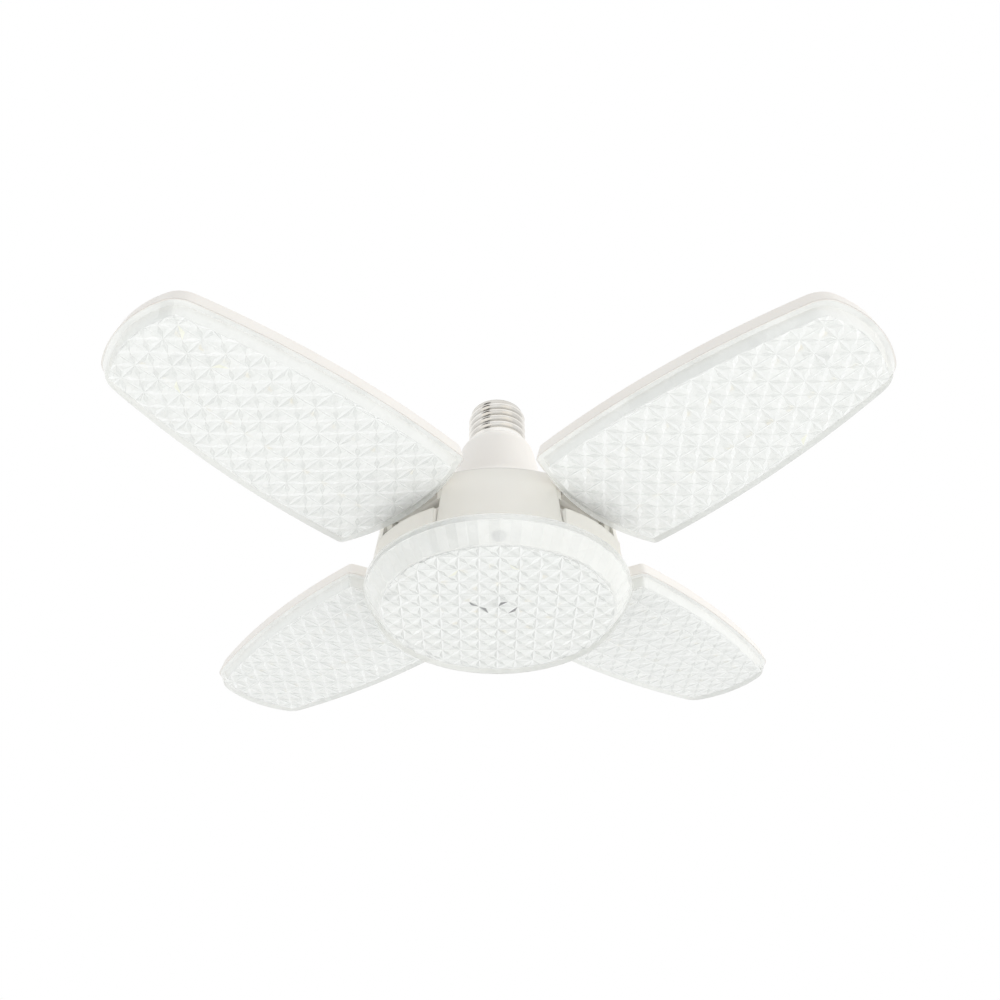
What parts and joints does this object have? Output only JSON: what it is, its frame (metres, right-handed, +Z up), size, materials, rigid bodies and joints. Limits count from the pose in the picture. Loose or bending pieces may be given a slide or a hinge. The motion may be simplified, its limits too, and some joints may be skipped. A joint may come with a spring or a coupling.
{
  "type": "deformable garage light",
  "caption": "Screw-in garage lamp with folding blade-shaped light panels round a faceted round light, hung from a lampholder by its metal screw cap.",
  "frame": {"origin": "on the lamp's axis, where the metal screw cap leaves the plastic neck", "axes": "+Z up along the axis, out of the cap and into the lampholder; +X, +Y, -X and -Y through the right, rear, left and front blades"},
  "size_m": [0.3608, 0.3608, 0.1164],
  "materials": {
    "cap_metal": "nickel plated, polished",
    "cap_insulator": "black glassy insulator",
    "cap_contact": "tinned contact",
    "white_plastic": "moulded, satin",
    "clear_lens": "clear, faceted inside",
    "light_board": "white solder mask",
    "light_chip": "yellow phosphor",
    "screw_steel": "plated",
    "driver_board": "resin board",
    "capacitor_can": "sleeved can",
    "transformer_tape": "taped winding",
    "choke_core": "ferrite",
    "rectifier_case": "moulded",
    "lead_sheath": "sheathed wire",
    "washer_plastic": "friction washer"
  },
  "bodies": {
    "lamp_body": {"e27_cap_shell": "cap_metal", "cap_insulator": "cap_insulator", "cap_contact": "cap_contact", "neck_housing": "white_plastic", "hub_housing": "white_plastic", "disc_pan": "white_plastic", "disc_lens": "clear_lens", "disc_light_board": "light_board", "disc_light_chips": "light_chip", "centre_screw": "screw_steel", "pan_screws": "screw_steel", "driver_board": "driver_board", "driver_capacitor": "capacitor_can", "driver_transformer": "transformer_tape", "driver_choke": "choke_core", "driver_rectifier": "rectifier_case", "supply_leads": "lead_sheath", "right_hinge_pin": "screw_steel", "right_hinge_washers": "washer_plastic", "rear_hinge_pin": "screw_steel", "rear_hinge_washers": "washer_plastic", "left_hinge_pin": "screw_steel", "left_hinge_washers": "washer_plastic", "front_hinge_pin": "screw_steel", "front_hinge_washers": "washer_plastic"},
    "right_blade": {"right_blade_housing": "white_plastic", "right_blade_lens": "clear_lens", "right_blade_light_board": "light_board", "right_blade_light_chips": "light_chip", "right_blade_board_screws": "screw_steel"},
    "rear_blade": {"rear_blade_housing": "white_plastic", "rear_blade_lens": "clear_lens", "rear_blade_light_board": "light_board", "rear_blade_light_chips": "light_chip", "rear_blade_board_screws": "screw_steel"},
    "left_blade": {"left_blade_housing": "white_plastic", "left_blade_lens": "clear_lens", "left_blade_light_board": "light_board", "left_blade_light_chips": "light_chip", "left_blade_board_screws": "screw_steel"},
    "front_blade": {"front_blade_housing": "white_plastic", "front_blade_lens": "clear_lens", "front_blade_light_board": "light_board", "front_blade_light_chips": "light_chip", "front_blade_board_screws": "screw_steel"}
  },
  "joints": [
    {"name": "right_blade_fold", "type": "hinge", "parent": "lamp_body", "child": "right_blade", "pos_m": [0.044, 0, -0.055], "axis": [0, -1, 0], "range_deg": [-8.4, 86.6]},
    {"name": "rear_blade_fold", "type": "hinge", "parent": "lamp_body", "child": "rear_blade", "pos_m": [0, 0.044, -0.055], "axis": [1, 0, 0], "range_deg": [-7.7, 87.3]},
    {"name": "left_blade_fold", "type": "hinge", "parent": "lamp_body", "child": "left_blade", "pos_m": [-0.044, 0, -0.055], "axis": [0, 1, 0], "range_deg": [-4.6, 90.4]},
    {"name": "front_blade_fold", "type": "hinge", "parent": "lamp_body", "child": "front_blade", "pos_m": [0, -0.044, -0.055], "axis": [-1, 0, 0], "range_deg": [-7.5, 87.5]}
  ]
}
